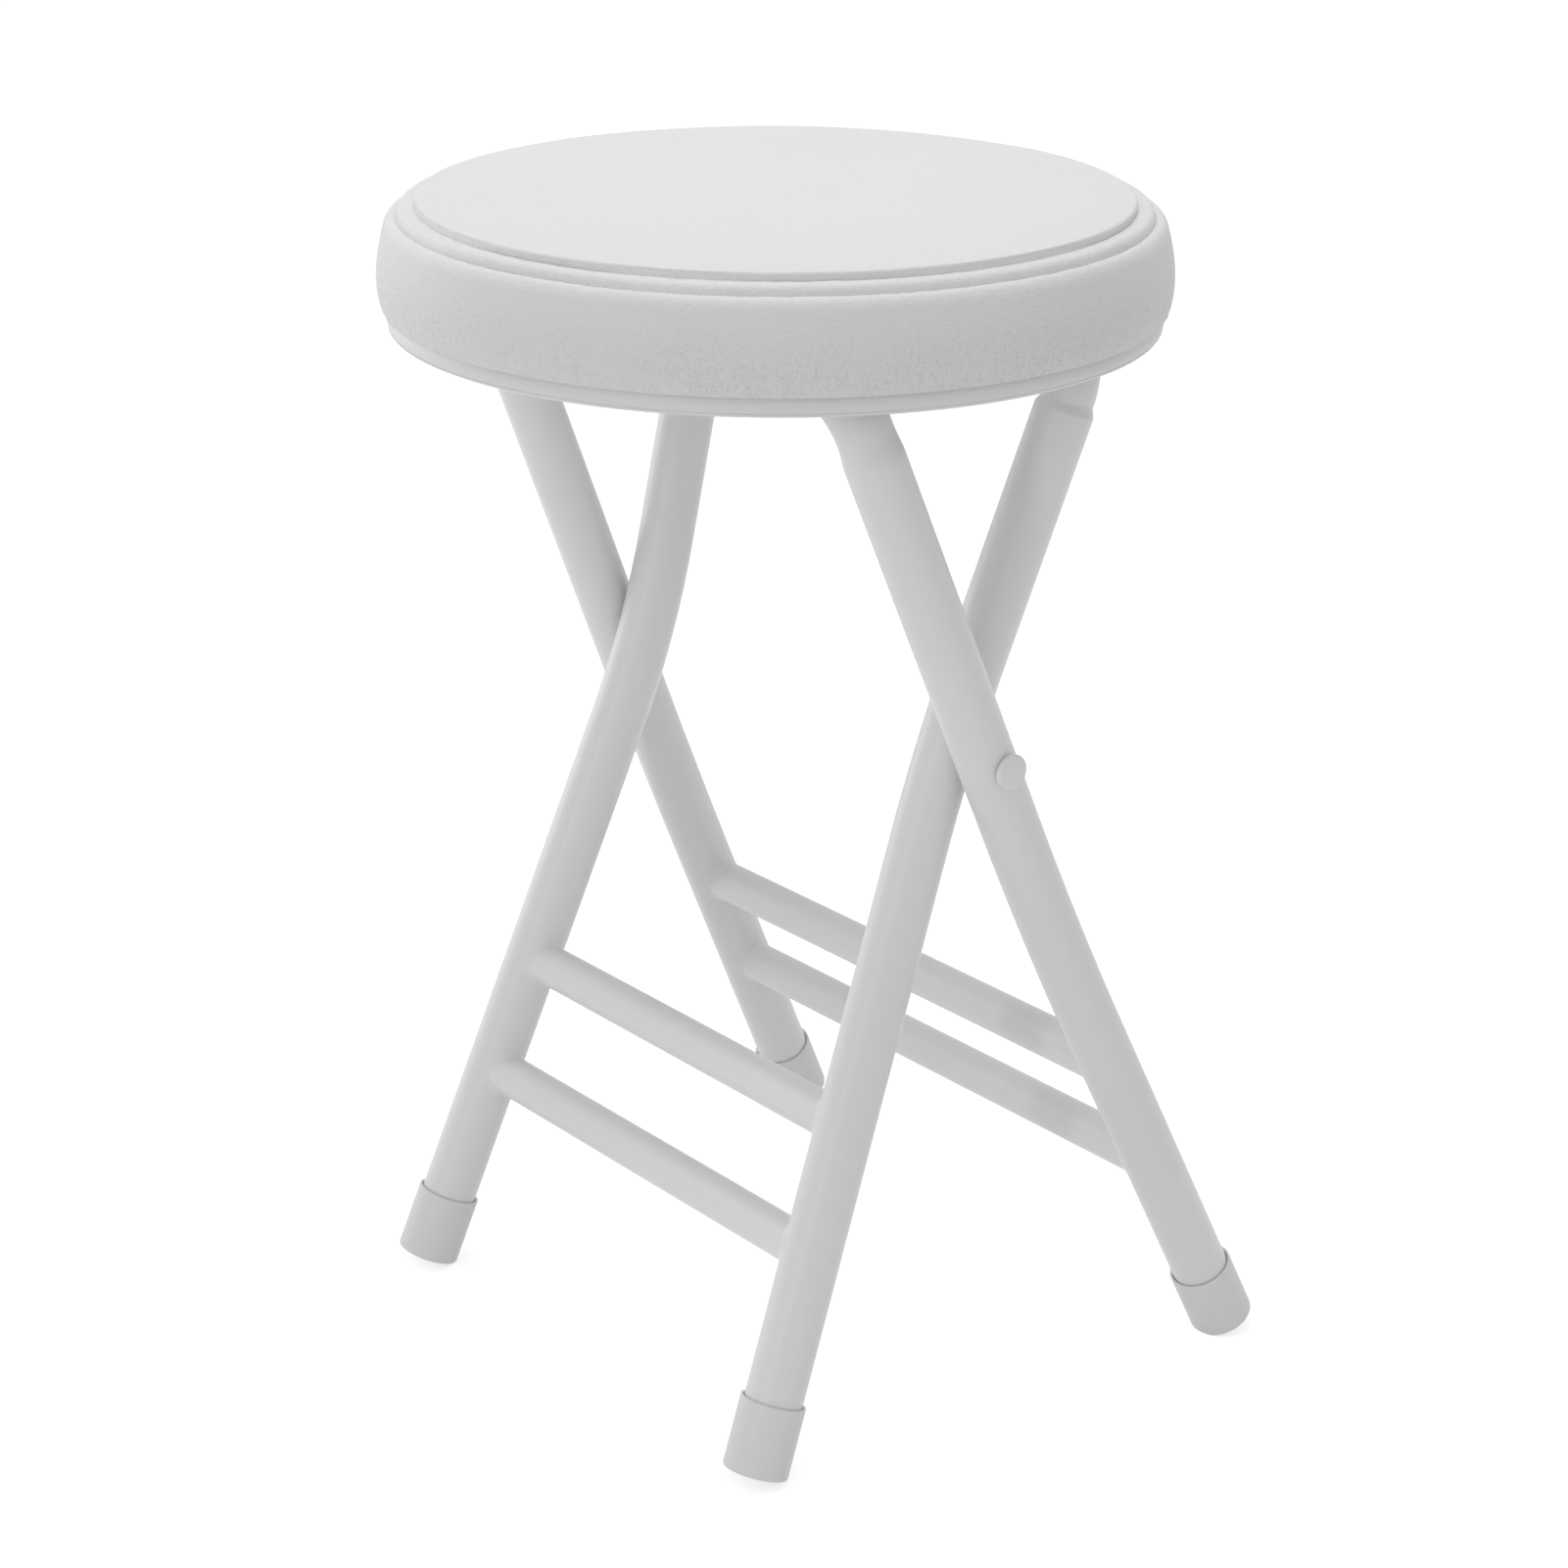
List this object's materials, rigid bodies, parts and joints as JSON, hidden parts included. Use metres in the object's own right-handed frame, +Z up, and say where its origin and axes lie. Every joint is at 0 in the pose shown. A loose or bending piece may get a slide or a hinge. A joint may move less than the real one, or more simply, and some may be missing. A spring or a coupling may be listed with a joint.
{
  "type": "folding stool",
  "caption": "Folding stool: round padded seat with a sewn bead on two crossed bent-tube frames with rungs, pivot rivets and foot caps.",
  "frame": {"origin": "centre of the seat, projected onto the floor that the feet stand on", "axes": "+X along the pivot axis of the frames, +Y towards the feet of the outer frame, +Z up"},
  "size_m": [0.2904, 0.29, 0.4505],
  "materials": {
    "cushion_vinyl": "white vinyl with a fine leather grain",
    "plywood": "bare plywood",
    "pan_plastic": "satin moulded plastic",
    "fitting_paint": "white powder coat",
    "screw_zinc": "zinc plated",
    "frame_paint": "white satin powder coat",
    "cap_plastic": "soft white plastic",
    "rivet_paint": "white powder coat",
    "washer_nylon": "natural nylon"
  },
  "bodies": {
    "inner_frame": {"inner_frame_tube": "frame_paint", "inner_upper_rung": "frame_paint", "inner_lower_rung": "frame_paint", "inner_left_foot_cap": "cap_plastic", "inner_right_foot_cap": "cap_plastic"},
    "outer_frame": {"outer_frame_tube": "frame_paint", "outer_upper_rung": "frame_paint", "outer_lower_rung": "frame_paint", "outer_left_foot_cap": "cap_plastic", "outer_right_foot_cap": "cap_plastic", "left_pivot_rivet": "rivet_paint", "right_pivot_rivet": "rivet_paint", "left_pivot_washer": "washer_nylon", "right_pivot_washer": "washer_nylon"},
    "seat": {"seat_cushion": "cushion_vinyl", "seat_board": "plywood", "seat_pan": "pan_plastic", "left_hinge_saddle": "fitting_paint", "right_hinge_saddle": "fitting_paint", "left_catch_hook": "fitting_paint", "right_catch_hook": "fitting_paint", "left_saddle_screw_front": "screw_zinc", "left_saddle_screw_rear": "screw_zinc", "right_saddle_screw_front": "screw_zinc", "right_saddle_screw_rear": "screw_zinc", "left_catch_screw_inboard": "screw_zinc", "left_catch_screw_outboard": "screw_zinc", "right_catch_screw_inboard": "screw_zinc", "right_catch_screw_outboard": "screw_zinc", "pan_screw_1": "screw_zinc", "pan_screw_2": "screw_zinc", "pan_screw_3": "screw_zinc", "pan_screw_4": "screw_zinc"}
  },
  "joints": [
    {"name": "frame_fold", "type": "hinge", "parent": "inner_frame", "child": "outer_frame", "pos_m": [0, 0.0072, 0.2595], "axis": [-1, 0, 0], "range_deg": [0, 25]},
    {"name": "seat_tilt", "type": "hinge", "parent": "inner_frame", "child": "seat", "pos_m": [0, 0.05786, 0.4105], "axis": [-1, 0, 0], "range_deg": [0, 60]}
  ],
  "couplings": [
    {"joint": "seat_tilt", "follows": "frame_fold", "ratio": 2.4}
  ]
}
